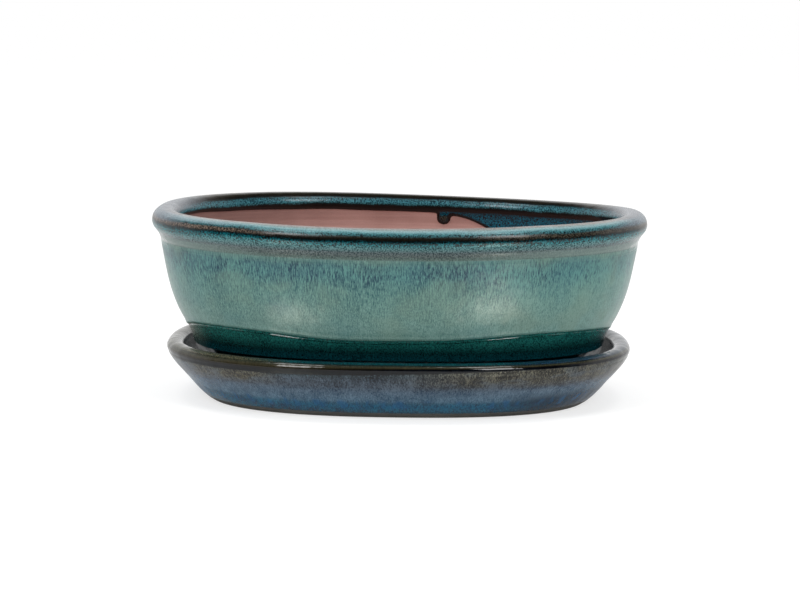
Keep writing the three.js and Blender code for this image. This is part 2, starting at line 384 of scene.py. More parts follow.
# Two drainage holes and four holes for the tree's wires, their edges eased. Each is cut by a
# spool that stands out past the floor on both sides
hole_ease = 0.7
spool_reach = 3
holes = [(9, x, 0) for x in (-52, 52)] + [(2.5, x, y) for x in (-28, 28) for y in (-31, 31)]
for radius, x, y in holes:
    spool = oval_body("hole", [
        (-hole_ease, pot_underside - spool_reach), (-hole_ease, pot_underside),
        (0, pot_underside + hole_ease), (0, pot_floor_level - hole_ease),
        (-hole_ease, pot_floor_level), (-hole_ease, pot_floor_level + spool_reach)],
        radius, radius, 32, lambda turn: 1)
    spool.data.transform(Matrix.Translation((x * MM, y * MM, 0)))
    finish_with(pot, "BOOLEAN", object=spool, operation="DIFFERENCE", solver="EXACT")
    bpy.data.objects.remove(spool)


def run_finder(rows, starts, first, last):
    """A function that gives the run at a level, on the stretch of a profile from row to row."""
    levels = np.array(rows)[first:last, 1]
    runs = starts[first:last]
    rising = 1 if levels[-1] > levels[0] else -1
    return lambda level: np.interp(rising * level, rising * levels, runs)


# Runs are found by their level: up the outside to the lip's crest, and down the inside
points = points_of(pot)
turn, run, outline, starts = unwind(points, pot_rows, pot_half_length, pot_half_width)
crest_run = starts[pot_crest]
outer = run < crest_run
up = run_finder(pot_rows, starts, pot_foot_line, pot_crest + 1)
down = run_finder(pot_rows, starts, pot_crest, -1)
well_away = 50.0

# The celadon's lower edge swings round the pot, lowest at the ends
glaze_line = (40.1 - 1.1 * np.cos(2 * turn) - 2.2 * np.cos(4 * turn) - 0.4 * np.cos(6 * turn)
              + 0.35 * np.sin(5 * turn + 1) + 0.2 * np.sin(11 * turn))
above_line = np.where(outer, run - up(glaze_line), well_away)

# Inside, the glaze ends just below the lip. At the right it spilt further down the wall, and
# where the spill starts, one round drop hangs
margin_level = 86.6
degrees = np.degrees(turn)
spill = 1.6 * ease(-degrees, -80, -77.5) + 15 * ease(-degrees, -77, -55)
margin = (margin_level + 1.3 * ease(np.abs(degrees), 125, 180) - spill * ease(degrees, -38, -8)
          - 0.6 * np.exp(-((degrees - 88) / 16) ** 2) + 0.2 * np.sin(4 * turn + 2)
          + 0.12 * np.sin(17 * turn))
drop_turn = math.radians(79.4)
drop_radius = 3.7
drop_level = 83.3
drop_stretch = 0.92
drop_start = np.array([pot_half_length * math.cos(drop_turn) * swell(drop_turn),
                       pot_half_width * math.sin(drop_turn) * swell(drop_turn)])
across = drop_stretch * np.linalg.norm(outline - drop_start, axis=1)
hung = np.clip(run, down(margin_level), down(drop_level))
drop = drop_radius - np.hypot(across, run - hung)
at_back = ~outer & (points[:, 1] > 0)
drop = np.where(at_back, np.maximum(drop, -well_away), -well_away)
within = np.where(outer, well_away, np.clip(down(margin) - run, -well_away, well_away))
# The drop runs smoothly out of the glaze above it
run_together = 0.5
within = run_together * np.logaddexp(within / run_together, drop / run_together)
# The floor is bare clay on both sides, and so are the walls of the holes through it
underside_run = 14
within = np.where(run < underside_run, -well_away, within)

store(pot, "drop_depth", drop)
store(pot, "glaze_place", np.column_stack([outline, run]))
store(pot, "above_line", above_line)
store(pot, "within_margin", within)

# The thick celadon ends in a rolled step over a fine bead of the dark glaze, and the glaze
# inside ends in a low bead
celadon_step = 0.38
margin_step = 0.3
drop_bulge = 0.7
normals = np.empty(len(points) * 3)
pot.data.vertices.foreach_get("normal", normals)
normals = normals.reshape(-1, 3)
thick_outside = (celadon_step * ease(above_line, -0.3, 0.9) - celadon_step
                 + 0.2 * np.exp(-((above_line - 1.3) / 1.1) ** 2)
                 + 0.14 * np.exp(-((above_line + 1.5) / 0.6) ** 2))
thick_inside = (margin_step * ease(within, -0.3, 0.5) - margin_step
                + 0.12 * np.exp(-((within - 1) / 0.8) ** 2))
thick = np.where(outer, thick_outside, thick_inside)
thick = thick + drop_bulge * ease(drop, 0, 2.6) * ease(run, down(margin_level), down(84))
# The lip sags and rises by a millimetre or two round the oval, as fired clay does. Its high
# places are flattened to about half, and the wall takes it up from the floor to the lip
warp_flat_over = 0.3
warp_flattening = 0.48
warp_reach = 58
warp = (-0.8 * np.cos(turn) - 0.7 * np.sin(turn) + np.cos(2 * turn)
        - 0.75 * np.sin(2 * turn) + 0.2 * np.cos(3 * turn) - 0.5 * np.sin(3 * turn))
flattened = warp_flat_over + (warp - warp_flat_over) * warp_flattening
warp = np.where(warp > warp_flat_over, flattened, warp)
points = points + normals * thick[:, None]
points[:, 2] += warp * np.clip((points[:, 2] - pot_floor_level) / warp_reach, 0, 1)
pot.data.vertices.foreach_set("co", (points * MM).ravel())
pot.data.update()
bpy.ops.object.select_all(action="DESELECT")
pot.select_set(True)
bpy.context.view_layer.objects.active = pot
bpy.ops.object.shade_smooth_by_angle(angle=math.radians(40))


def glaze_group(name, inputs, outputs):
    """An empty node group with named inputs and outputs."""
    group = bpy.data.node_groups.new(name, "ShaderNodeTree")
    for label, kind, value in inputs:
        socket = group.interface.new_socket(label, in_out="INPUT", socket_type=kind)
        if value is not None:
            socket.default_value = value
    for label, kind in outputs:
        group.interface.new_socket(label, in_out="OUTPUT", socket_type=kind)
    return group, group.nodes.new("NodeGroupInput").outputs


NUMBER, COLOUR, VECTOR = "NodeSocketFloat", "NodeSocketColor", "NodeSocketVector"

# Fired streaks: crystals drawn out down the wall, each a width and a length in millimetres.
# With the length equal to the width, they are specks
streaks, given = glaze_group("fired_streaks", [
    ("Place", VECTOR, None), ("Width", NUMBER, 1), ("Length", NUMBER, 4)], [("Mask", NUMBER)])
apart = node(streaks, "ShaderNodeSeparateXYZ", {0: given["Place"]})
stretched = node(streaks, "ShaderNodeCombineXYZ", {
    0: math_node(streaks, "DIVIDE", apart.outputs[0], given["Width"]),
    1: math_node(streaks, "DIVIDE", apart.outputs[1], given["Width"]),
    2: math_node(streaks, "DIVIDE", apart.outputs[2], given["Length"])})
drawn = node(streaks, "ShaderNodeTexNoise", {
    "Vector": stretched.outputs[0], "Scale": 1.0, "Detail": 2.0, "Roughness": 0.55})
node(streaks, "NodeGroupOutput", {0: drawn.outputs["Fac"]})

# Glaze skin: the slow ripple and fine dimples of a poured glaze, as a height in millimetres
skin, given = glaze_group("glaze_skin", [
    ("Place", VECTOR, None), ("Ripple", NUMBER, 0.05), ("Dimples", NUMBER, 0.01)],
    [("Height", NUMBER)])
slow = node(skin, "ShaderNodeTexNoise", {
    "Vector": given["Place"], "Scale": 0.11, "Detail": 1.0, "Roughness": 0.4})
quick = node(skin, "ShaderNodeTexNoise", {
    "Vector": given["Place"], "Scale": 0.9, "Detail": 2.0, "Roughness": 0.5})
node(skin, "NodeGroupOutput", {0: total(
    skin, product(skin, slow.outputs["Fac"], given["Ripple"]),
    product(skin, quick.outputs["Fac"], given["Dimples"]))})

# Bare clay: fired grain, with faint level lines from throwing and a few pits
clay, given = glaze_group("bare_clay", [
    ("Place", VECTOR, None), ("Pale", COLOUR, None), ("Dark", COLOUR, None)],
    [("Colour", COLOUR), ("Height", NUMBER)])
apart = node(clay, "ShaderNodeSeparateXYZ", {0: given["Place"]})
flat_place = node(clay, "ShaderNodeCombineXYZ", {
    0: product(clay, apart.outputs[0], 0.02), 1: product(clay, apart.outputs[1], 0.02),
    2: apart.outputs[2]})
lines = node(clay, "ShaderNodeTexNoise", {
    "Vector": flat_place.outputs[0], "Scale": 0.75, "Detail": 2.0, "Roughness": 0.6})
grain = node(clay, "ShaderNodeTexNoise", {
    "Vector": given["Place"], "Scale": 1.6, "Detail": 3.0, "Roughness": 0.7})
clouds = node(clay, "ShaderNodeTexNoise", {
    "Vector": given["Place"], "Scale": 0.05, "Detail": 2.0, "Roughness": 0.5})
cells = node(clay, "ShaderNodeTexVoronoi", {"Vector": given["Place"], "Scale": 0.1})
chance = node(clay, "ShaderNodeSeparateColor", {0: cells.outputs["Color"]})
pits = product(clay, between(clay, cells.outputs["Distance"], 0.03, 0.07, 1.0, 0.0),
               math_node(clay, "GREATER_THAN", chance.outputs[0], 0.82))
tone = total(clay, product(clay, lines.outputs["Fac"], 0.5),
             product(clay, grain.outputs["Fac"], 0.35), product(clay, clouds.outputs["Fac"], 0.6))
tone = between(clay, tone, 0.45, 1.0, smooth=False)
tone = math_node(clay, "MAXIMUM", tone, pits)
height = total(clay, product(clay, lines.outputs["Fac"], 0.12),
               product(clay, grain.outputs["Fac"], 0.06), product(clay, pits, -0.3))
node(clay, "NodeGroupOutput", {0: mixed(clay, tone, given["Pale"], given["Dark"]), 1: height})


def ramp(tree, factor, stops):
    """A colour ramp through the stops given, each a place from 0 to 1 and a colour."""
    made = node(tree, "ShaderNodeValToRGB", {0: factor})
    line = made.color_ramp
    line.elements[0].position, line.elements[0].color = stops[0]
    line.elements[1].position, line.elements[1].color = stops[-1]
    for position, colour in stops[1:-1]:
        line.elements.new(position).color = colour
    return made.outputs


def fired_stack(tree, run_mm, mask, rows, share=0.5):
    """Glaze colours along a run: each row has its place, a pale and a dark paint, and how hard
    the mask bites, which moves the share of the dark paint from point to point."""
    first, span = rows[0][0], rows[-1][0] - rows[0][0]
    along = math_node(tree, "DIVIDE", math_node(tree, "SUBTRACT", run_mm, first), span, True)
    places = [(row[0] - first) / span for row in rows]
    pale = ramp(tree, along, [(at, srgb(*row[1])) for at, row in zip(places, rows)])
    dark = ramp(tree, along, [(at, srgb(*row[2])) for at, row in zip(places, rows)])
    most = 8.0        # a ramp's colours end at 1, so the bites are stored as shares of this
    bite = ramp(tree, along, [(at, (row[3] / most,) * 3 + (1,)) for at, row in zip(places, rows)])
    swing = product(tree, math_node(tree, "SUBTRACT", mask, 0.5), product(tree, bite[0], most))
    tone = math_node(tree, "ADD", swing, share, True)
    return mixed(tree, tone, pale[0], dark[0])


def streak_mask(tree, place, width, length):
    """Fired streaks of a width and a length in millimetres, as a mask round 0.5."""
    made = node(tree, "ShaderNodeGroup", node_tree=streaks)
    tree.links.new(place, made.inputs["Place"])
    made.inputs["Width"].default_value = width
    made.inputs["Length"].default_value = length
    return made.outputs[0]


def blend(tree, *parts):
    """The sum of masks, each times its share; the shares add up to 1."""
    return total(tree, *(product(tree, mask, share) for mask, share in parts))


def off_middle(tree, mask, amount):
    """A mask as a swing to both sides of nought."""
    return product(tree, math_node(tree, "SUBTRACT", mask, 0.5), amount)


def broken(tree, mask, low, high, pale, dark):
    """A pale paint that turns to a dark one where a mask goes from low to high."""
    return mixed(tree, between(tree, mask, low, high), srgb(*pale), srgb(*dark))


def roughness_along(tree, run_mm, rows):
    """The roughness along a run: each row has its place and its value."""
    span = rows[-1][0]
    return ramp(tree, math_node(tree, "DIVIDE", run_mm, span), [
        (place / span, (value, value, value, 1)) for place, value in rows])[0]


pot_glaze = bpy.data.materials.new("celadon_over_dark_glaze")
pot_glaze.use_nodes = True
tree = pot_glaze.node_tree
tree.nodes.clear()
place_out = node(tree, "ShaderNodeAttribute", attribute_name="glaze_place").outputs["Vector"]
line_out = node(tree, "ShaderNodeAttribute", attribute_name="above_line").outputs["Fac"]
margin_out = node(tree, "ShaderNodeAttribute", attribute_name="within_margin").outputs["Fac"]
run_out = node(tree, "ShaderNodeSeparateXYZ", {0: place_out}).outputs[2]
object_place = node(tree, "ShaderNodeTexCoord").outputs["Object"]
place_mm = node(tree, "ShaderNodeVectorMath", {0: object_place, 1: (1000, 1000, 1000)},
                operation="MULTIPLY").outputs[0]
sideways = node(tree, "ShaderNodeSeparateXYZ", {0: place_mm}).outputs[0]

hair = streak_mask(tree, place_out, 0.5, 2.8)
grain = streak_mask(tree, place_out, 0.5, 1.0)
speck = streak_mask(tree, place_out, 0.72, 0.72)
cloud = streak_mask(tree, place_out, 22.0, 18.0)
broad = streak_mask(tree, place_out, 5.0, 26.0)
low_wall = blend(tree, (hair, 0.3), (grain, 0.5), (cloud, 0.1), (broad, 0.1))
high_wall = blend(tree, (hair, 0.6), (grain, 0.2), (cloud, 0.12), (broad, 0.08))
wall_mask = node(tree, "ShaderNodeMix", {0: between(tree, run_out, up(50), up(72)), 2: low_wall,
                                         3: high_wall}, data_type="FLOAT").outputs[0]
# To the right the wall is a little paler
wall_mask = total(tree, wall_mask, between(tree, sideways, 10.0, 115.0, 0.0, -0.05))
lip_mask = blend(tree, (grain, 0.26), (speck, 0.64), (cloud, 0.1))
celadon_rows = [
    (up(36), (100, 134, 126), (52, 90, 86), 4.4), (up(44), (106, 142, 134), (60, 98, 94), 4.4),
    (up(52), (103, 139, 130), (44, 86, 84), 4.8), (up(65), (96, 137, 128), (22, 73, 80), 5.0),
    (up(72), (80, 130, 125), (2, 46, 68), 5.8), (up(77), (80, 126, 121), (2, 46, 66), 5.8),
    (up(79.6), (94, 129, 122), (48, 82, 80), 4.4), (up(80.3), (96, 126, 120), (62, 88, 84), 4.0)]
lip_rows = [
    (up(80), (98, 124, 118), (56, 80, 76), 4.0), (up(80.8), (90, 110, 104), (50, 70, 66), 4.4),
    (up(82.2), (84, 96, 94), (34, 50, 50), 6.0), (up(84), (90, 104, 106), (14, 40, 44), 7.0),
    (up(85.3), (94, 130, 132), (20, 60, 62), 7.0), (up(86.5), (84, 136, 138), (6, 52, 56), 7.2),
    (up(87.6), (36, 118, 124), (1, 22, 26), 7.6), (up(88.7), (6, 84, 92), (1, 8, 11), 7.6),
    (up(89.5), (2, 40, 46), (1, 1, 1), 7.6), (up(90.2), (12, 14, 10), (1, 1, 1), 5.0),
    (up(91), (28, 23, 14), (3, 2, 1), 5.0), (up(91.6), (38, 40, 34), (2, 3, 3), 6.0),
    (up(92.3), (44, 92, 98), (1, 6, 8), 7.4), (up(93), (58, 114, 120), (4, 30, 36), 7.2),
    (up(93.7), (94, 138, 142), (46, 88, 94), 5.8),
    (up(94.3), (134, 162, 164), (104, 132, 136), 4.4),
    # The pale row on the crest's outer shoulder is in part a painted highlight
    (crest_run - 1.6, (132, 124, 119), (96, 88, 83), 3.0),
    (crest_run - 0.7, (50, 47, 32), (24, 21, 12), 3.0), (down(94.1), (24, 20, 10), (3, 3, 2), 4.0),
    (down(93.5), (12, 24, 24), (1, 1, 1), 6.0), (down(92.9), (44, 98, 108), (1, 14, 20), 7.0),
    (down(91.2), (62, 124, 136), (2, 38, 50), 7.0), (down(90.3), (56, 104, 112), (4, 36, 42), 6.8),
    (down(89.6), (22, 34, 36), (2, 4, 4), 5.0), (down(88.9), (8, 4, 4), (1, 1, 1), 4.0),
    (down(87.3), (4, 1, 1), (1, 1, 1), 4.0), (down(86.3), (10, 78, 96), (1, 4, 12), 7.4),
    (down(82), (20, 100, 122), (1, 10, 22), 7.0), (down(60), (20, 82, 102), (1, 10, 22), 7.0)]
celadon = fired_stack(tree, run_out, wall_mask, celadon_rows, 0.45)
# Broad patches of the wall lean to olive and to teal
patch = streak_mask(tree, place_out, 30.0, 20.0)
celadon = mixed(tree, between(tree, patch, 0.52, 0.68, 0.0, 0.22), celadon, srgb(112, 132, 112))
celadon = mixed(tree, between(tree, patch, 0.34, 0.5, 0.14, 0.0), celadon, srgb(52, 112, 122))
# The lip's bands bleed into one another by a millimetre, but the neck's edges are clean. To
# the left the dark break over the roll sits a little higher
bleed = between(tree, run_out, up(84.6), up(87), 0.5, 2.0)
fine = off_middle(tree, blend(tree, (grain, 0.5), (speck, 0.5)), 1.0)
bled = total(tree, run_out, product(tree, fine, bleed),
             product(tree, off_middle(tree, cloud, 1.2), bleed))
bled = total(tree, bled, product(tree, between(tree, sideways, -75.0, -45.0, -0.8, 0.0),
                                 between(tree, run_out, up(86), up(89.5))))
lip = fired_stack(tree, bled, lip_mask, lip_rows)
# Away from the middle, which lies a little to the left, the break over the roll turns brown.
out_along = math_node(tree, "ABSOLUTE", total(tree, sideways, 12.0))
brown_and_sheen_share = product(tree, between(tree, out_along, 38.0, 76.0, 0.0, 0.9),
                  between(tree, bled, up(89.7), up(90.6)),
                  between(tree, bled, up(91.4), up(92.3), 1.0, 0.0))
# The paler brown to the left is in part a painted highlight from the left lamp
brown_and_sheen = broken(tree, sideways, -40.0, 40.0, (108, 92, 80), (62, 58, 48))
brown_and_sheen = mixed(tree, between(tree, speck, 0.38, 0.58), brown_and_sheen, srgb(20, 17, 14))
lip = mixed(tree, brown_and_sheen_share, lip, brown_and_sheen)
# To the left the lip's upper face pales to a blue grey, a painted reflection of the pale
# surroundings
left_face_reflection = product(tree, between(tree, sideways, -100.0, -55.0, 0.6, 0.0),
                between(tree, bled, up(92.4), up(93.6)),
                between(tree, run_out, crest_run - 2.5, crest_run - 0.5, 1.0, 0.0))
lip = mixed(tree, left_face_reflection, lip, broken(tree, speck, 0.3, 0.7, (140, 154, 160), (96, 112, 120)))
# Under the roll the glaze pales towards both ends
neck_ends = product(tree, between(tree, out_along, 40.0, 95.0, 0.0, 0.45),
                    between(tree, run_out, up(80), up(81)),
                    between(tree, run_out, up(83), up(84.6), 1.0, 0.0))
lip = mixed(tree, neck_ends, lip, srgb(126, 148, 142))
# Both ends of the lip are painted a lilac grey, a painted reflection of the pale surroundings seen
# at a slant
along = math_node(tree, "ABSOLUTE", sideways)
ends = product(tree, between(tree, along, 100.0, 119.0, 0.0, 0.85),
               between(tree, run_out, down(91.8), down(90.4), 1.0, 0.0),
               between(tree, run_out, up(91), up(93)))
lip = mixed(tree, ends, lip, broken(tree, speck, 0.3, 0.7, (100, 110, 122), (44, 56, 70)))
celadon = mixed(tree, between(tree, run_out, up(79.9), up(80.3)), celadon, lip)
band_rows = [
    (0, (12, 70, 76), (2, 36, 42), 5), (up(30), (10, 66, 74), (1, 30, 36), 6),
    (up(33), (10, 48, 49), (1, 18, 21), 6), (up(38), (30, 98, 92), (6, 42, 42), 6),
    (up(44), (36, 106, 98), (8, 50, 48), 5)]
band = fired_stack(tree, run_out, lip_mask, band_rows)
# The band's left end pales to an olive grey, a painted reflection of the backdrop seen at a slant
band = mixed(tree, between(tree, sideways, -107.0, -91.0, 0.85, 0.0), band, srgb(88, 102, 94))
over_line = between(tree, total(tree, line_out, off_middle(tree, speck, 0.5)), -0.15, 0.3)
glazed = mixed(tree, over_line, band, celadon)
oxblood = mixed(tree, speck, srgb(20, 7, 4), srgb(3, 1, 1))
ragged = total(tree, margin_out, off_middle(tree, speck, 1.4))
glazed = mixed(tree, between(tree, ragged, 1.0, 2.3), oxblood, glazed)
drop_out = node(tree, "ShaderNodeAttribute", attribute_name="drop_depth").outputs["Fac"]
ragged_drop = total(tree, drop_out, off_middle(tree, speck, 1.4))
low_drop = product(tree, between(tree, ragged_drop, 1.0, 2.2, 0.0, 0.85),
                   between(tree, run_out, down(85.6), down(84.2)))
glazed = mixed(tree, low_drop, glazed, broken(tree, speck, 0.35, 0.6, (60, 50, 26), (16, 12, 5)))
biscuit = node(tree, "ShaderNodeGroup", {
    "Place": place_mm, "Pale": srgb(180, 141, 133), "Dark": srgb(148, 112, 105)}, node_tree=clay)
under = node(tree, "ShaderNodeGroup", {
    "Place": place_mm, "Pale": srgb(156, 130, 114), "Dark": srgb(118, 98, 86)}, node_tree=clay)
inside_glazed = between(tree, margin_out, -0.1, 0.25)
underneath = between(tree, total(tree, run_out, off_middle(tree, speck, 1.0)),
                     up(28.25) - 1.6, up(28.25) - 1.0, 1.0, 0.0)
# Painted shade: the clay inside is darkened to the left
painted_shade_inside = node(tree, "ShaderNodeMix", {
    0: between(tree, sideways, -95.0, -15.0, 1.0, 0.0), 6: biscuit.outputs["Colour"],
    7: (0.64, 0.64, 0.64, 1)}, data_type="RGBA", blend_type="MULTIPLY").outputs[2]
colour = mixed(tree, inside_glazed, painted_shade_inside, glazed)
colour = mixed(tree, underneath, colour, under.outputs["Colour"])
glossy = roughness_along(tree, run_out, [
    (up(36), 0.29), (up(78), 0.29), (up(79.6), 0.1), (up(82.4), 0.08), (up(84.5), 0.2),
    (up(87), 0.26), (up(89.6), 0.2), (up(91.8), 0.24), (up(93), 0.26), (up(94.8), 0.26),
    (down(94.9), 0.2), (down(93), 0.28), (down(88), 0.2)])
glossy = mixed(tree, over_line, (0.08, 0.08, 0.08, 1), glossy)
bare = math_node(tree, "MAXIMUM", math_node(tree, "SUBTRACT", 1.0, inside_glazed), underneath)
rough = mixed(tree, bare, glossy, (0.82, 0.82, 0.82, 1))
poured = node(tree, "ShaderNodeGroup", {"Place": place_out, "Ripple": 0.3, "Dimples": 0.012},
              node_tree=skin)
# Right under the celadon's edge the dark glaze lies in a narrow roll, whose upper side is a
# slope of its own that catches the lamps. Another, softer roll lies in the neck
line_bead = product(tree, between(tree, line_out, -2.0, -1.5),
                    between(tree, line_out, -1.45, -0.8, 0.9, 0.0, smooth=False),
                    between(tree, along, 62.0, 84.0, 1.0, 0.0))
neck_roll = product(tree, between(tree, run_out, up(80.0), up(81.6)),
                    between(tree, run_out, up(81.8), up(84), 0.27, 0.0))
glaze_height = total(tree, poured.outputs[0], product(tree, hair, over_line, 0.02),
                     line_bead, neck_roll)
height = node(tree, "ShaderNodeMix", {
    0: bare, 2: glaze_height, 3: biscuit.outputs["Height"]}, data_type="FLOAT").outputs[0]
bump = node(tree, "ShaderNodeBump", {"Strength": 1.0, "Distance": MM, "Height": height})
finish = node(tree, "ShaderNodeBsdfPrincipled", {
    "Base Color": colour, "Roughness": rough, "IOR": 1.4, "Normal": bump.outputs[0]})
node(tree, "ShaderNodeOutputMaterial", {0: finish.outputs[0]})
pot.data.materials.clear()
pot.data.materials.append(pot_glaze)
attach(pot, "pot")
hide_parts("pot_shell")


# Four bracket feet, cut from a slab, bent to the oval and luted under the pot. They carry
# the dark glaze down to a bare clay sole, which would stick to the kiln shelf if glazed.
foot_sole = 13.0
foot_top = 28.2
foot_half_span = math.radians(14)
foot_stations = 28
foot_inset_top, foot_inset_sole = 24, 35.7
foot_depth_top, foot_depth_sole = 13, 9
foot_arch_rise = 11
foot_edge = 1.3


def foot_lift(share):
    """How far the foot's lower edge stands off the sole, from the middle 0 to the tip 1: flat
    at first, then up in a round shoulder, and a last flick at the tip."""
    flat, shoulder = 0.56, 0.62
    away = min(max((share - flat) / (1 - flat), 0), 1)
    return foot_arch_rise * (shoulder * math.sin(away * math.pi / 2) ** 0.8
                             + (1 - shoulder) * away ** 3)


def foot_ring(turn, lift):
    """The four corners of a foot's section at a turn, its lower edge raised by lift."""
    corners = []
    sunk = 1 - lift / (foot_top - foot_sole)
    outer_low = foot_inset_top + (foot_inset_sole - foot_inset_top) * sunk
    inner_low = outer_low + foot_depth_top + (foot_depth_sole - foot_depth_top) * sunk
    reach = swell(turn)
    for inset, level in ((foot_inset_top, foot_top), (outer_low, foot_sole + lift),
                         (inner_low, foot_sole + lift),
                         (foot_inset_top + foot_depth_top, foot_top)):
        corners.append(Vector(((pot_half_length - inset) * math.cos(turn) * reach * MM,
                               (pot_half_width - inset) * math.sin(turn) * reach * MM,
                               level * MM)))
    return corners


def bracket_foot(name, middle_turn):
    """A foot drawn round the oval, section by section, about its middle turn."""
    bpy.ops.object.select_all(action="DESELECT")
    bpy.ops.mesh.primitive_plane_add(size=1)
    foot = bpy.context.object
    foot.name = name
    shares = [2 * k / foot_stations - 1 for k in range(foot_stations + 1)]
    turns = [middle_turn + share * foot_half_span for share in shares]
    previous = foot_ring(turns[0], foot_lift(1))
    for corner, spot in zip(foot.data.polygons[0].vertices, previous):
        foot.data.vertices[corner].co = spot
    bpy.ops.object.mode_set(mode="EDIT")
    bpy.ops.mesh.select_mode(type="FACE")
    bpy.ops.mesh.select_all(action="SELECT")
    for share, turn in zip(shares[1:], turns[1:]):
        ring = foot_ring(turn, foot_lift(abs(share)))
        bpy.ops.mesh.extrude_region_move()
        bpy.ops.object.mode_set(mode="OBJECT")
        moved = [v for v in foot.data.vertices if v.select]
        for vertex in moved:
            nearest = min(range(4), key=lambda c: (vertex.co - previous[c]).length)
            vertex.co = ring[nearest]
        bpy.ops.object.mode_set(mode="EDIT")
        previous = ring
    bpy.ops.mesh.select_all(action="SELECT")
    bpy.ops.mesh.normals_make_consistent(inside=False)
    bpy.ops.object.mode_set(mode="OBJECT")
    finish_with(foot, "BEVEL", width=foot_edge * MM, segments=3, limit_method="ANGLE",
                angle_limit=math.radians(38))
    bpy.ops.object.shade_smooth_by_angle(angle=math.radians(50))
    return foot


foot_glaze = bpy.data.materials.new("dark_foot_glaze")
foot_glaze.use_nodes = True
tree = foot_glaze.node_tree
tree.nodes.clear()
object_place = node(tree, "ShaderNodeTexCoord").outputs["Object"]
place_mm = node(tree, "ShaderNodeVectorMath", {0: object_place, 1: (1000, 1000, 1000)},
                operation="MULTIPLY").outputs[0]
level_mm = node(tree, "ShaderNodeSeparateXYZ", {0: place_mm}).outputs[2]
hair = streak_mask(tree, place_mm, 0.9, 2.0)
dip = streak_mask(tree, place_mm, 6.0, 6.0)
colour = mixed(tree, between(tree, hair, 0.3, 0.7), srgb(9, 42, 42), srgb(3, 20, 24))
sole = node(tree, "ShaderNodeGroup", {
    "Place": place_mm, "Pale": srgb(156, 130, 114), "Dark": srgb(118, 98, 86)}, node_tree=clay)
wiped = total(tree, level_mm, product(tree, dip, -1.6))
glazed_here = between(tree, wiped, foot_sole + 0.7, foot_sole + 1.1)
rim_here = between(tree, wiped, foot_sole + 1.1, foot_sole + 2.4)
colour = mixed(tree, rim_here, srgb(46, 34, 20), colour)
colour = mixed(tree, glazed_here, sole.outputs["Colour"], colour)
rough = mixed(tree, glazed_here, (0.85, 0.85, 0.85, 1), (0.09, 0.09, 0.09, 1))
poured = node(tree, "ShaderNodeGroup", {"Place": place_mm, "Ripple": 0.3, "Dimples": 0.015},
              node_tree=skin)
height = node(tree, "ShaderNodeMix", {
    0: glazed_here, 2: sole.outputs["Height"], 3: poured.outputs[0]}, data_type="FLOAT")
bump = node(tree, "ShaderNodeBump", {"Strength": 1.0, "Distance": MM, "Height": height.outputs[0]})
finish = node(tree, "ShaderNodeBsdfPrincipled", {
    "Base Color": colour, "Roughness": rough, "Normal": bump.outputs[0]})
node(tree, "ShaderNodeOutputMaterial", {0: finish.outputs[0]})

for side, middle_turn in (("rear_right", 45), ("rear_left", 135), ("front_left", 225),
                          ("front_right", 315)):
    foot = bracket_foot("bracket_foot_" + side, math.radians(middle_turn))
    foot.data.materials.append(foot_glaze)
    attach(foot, "pot")
    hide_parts("pot_foot_" + side)


# The drip saucer: pressed oval from the same clay, with a rounded lip and a bare foot ring
# round a shallow recess. A slate-blue glaze covers it, and breaks olive brown over the lip.
saucer_half_length = 118
saucer_half_width = 91
saucer_recess = 3.6
saucer_floor = 13
saucer_base = [(48, saucer_recess), (40, saucer_recess)] + drawn_through([
    (35, saucer_recess), (32.1, 2.3), (30.1, 0.15)])
saucer_flank = drawn_through([
    (22.4, 0.12), (19.9, 1.75), (15.4, 6), (10.3, 12), (5, 18), (1.3, 23.2), (0.1, 26.2)])
saucer_lip = rolled_lip((4.7, 26.2), (4.6, 3.6), 2.1, 8)
saucer_bowl = drawn_through([
    (9.3, 26.2), (10.9, 22), (14.9, 16.5), (18.8, 13.25), (26, saucer_floor)])
saucer_ring = [(28.6, 0), (26, 0), (23.6, 0)]
saucer_rows = (saucer_base + saucer_ring + saucer_flank[:-1] + saucer_lip + saucer_bowl[1:]
               + [(34, saucer_floor), (48, saucer_floor)])
saucer_sole = len(saucer_base) + len(saucer_ring) - 1
saucer_crest = saucer_sole + len(saucer_flank) + len(saucer_lip) // 2
saucer = oval_body("drip_saucer", cage(saucer_rows), saucer_half_length, saucer_half_width,
                   around_pot, swell)
finish_with(saucer, "SUBSURF", levels=2, render_levels=2)
points = points_of(saucer)
turn, run, outline, starts = unwind(points, saucer_rows, saucer_half_length, saucer_half_width)
flank = run_finder(saucer_rows, starts, saucer_sole, saucer_crest + 1)
bowl = run_finder(saucer_rows, starts, saucer_crest, -3)
ring_start = starts[len(saucer_base) - 1]
# On the floor and in the recess the glaze follows the clay itself, not the oval's outline
floor_start = bowl(13.3)
level_clay = np.maximum(ease(run, floor_start, floor_start + 8), 1 - ease(run, 0, 8))[:, None]
store(saucer, "glaze_place",
      np.column_stack([outline * (1 - level_clay) + points[:, :2] * level_clay, run]))

# The slate glaze of the flank ends under the lip in a low rolled edge
normals = np.empty(len(points) * 3)
saucer.data.vertices.foreach_get("normal", normals)
slate_step = 0.12
below_lip = flank(24.5) - run
thick = np.where(run > flank(3.5), slate_step * ease(below_lip, -0.4, 0.8) - slate_step, 0)
points = points + normals.reshape(-1, 3) * (thick * ease(run, flank(3.5), flank(8)))[:, None]
saucer.data.vertices.foreach_set("co", (points * MM).ravel())
saucer.data.update()
bpy.ops.object.shade_smooth_by_angle(angle=math.radians(40))

